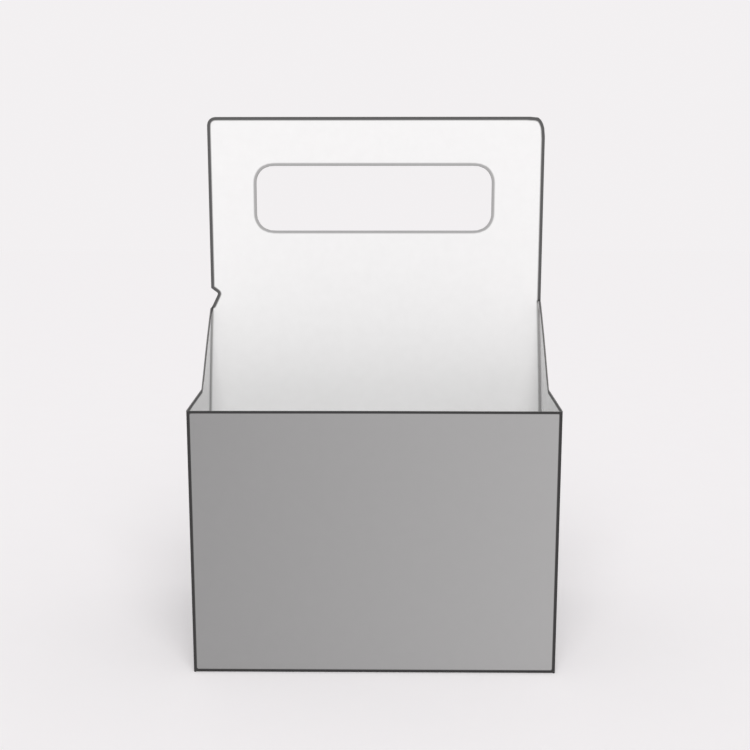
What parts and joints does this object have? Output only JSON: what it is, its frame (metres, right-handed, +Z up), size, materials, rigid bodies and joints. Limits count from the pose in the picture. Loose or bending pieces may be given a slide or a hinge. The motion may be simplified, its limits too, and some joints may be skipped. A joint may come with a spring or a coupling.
{
  "type": "bottle carrier",
  "caption": "Folded paperboard bottle carrier: an open box parted into cells, with a central riser that ends in a wide handle with a hand hole.",
  "frame": {"origin": "centre of the underside, on the surface that the carrier stands on", "axes": "+X along the handle to the carrier's right end, +Y from the front to the back, +Z up"},
  "size_m": [0.19, 0.127, 0.29],
  "materials": {
    "printed_board": "matt grey print on the outside, unprinted white on the inside and on the handle",
    "white_board": "unprinted matt white"
  },
  "bodies": {
    "root": {"carrier_sheet": "printed_board", "front_partition": "white_board", "back_partition": "white_board"}
  },
  "joints": []
}
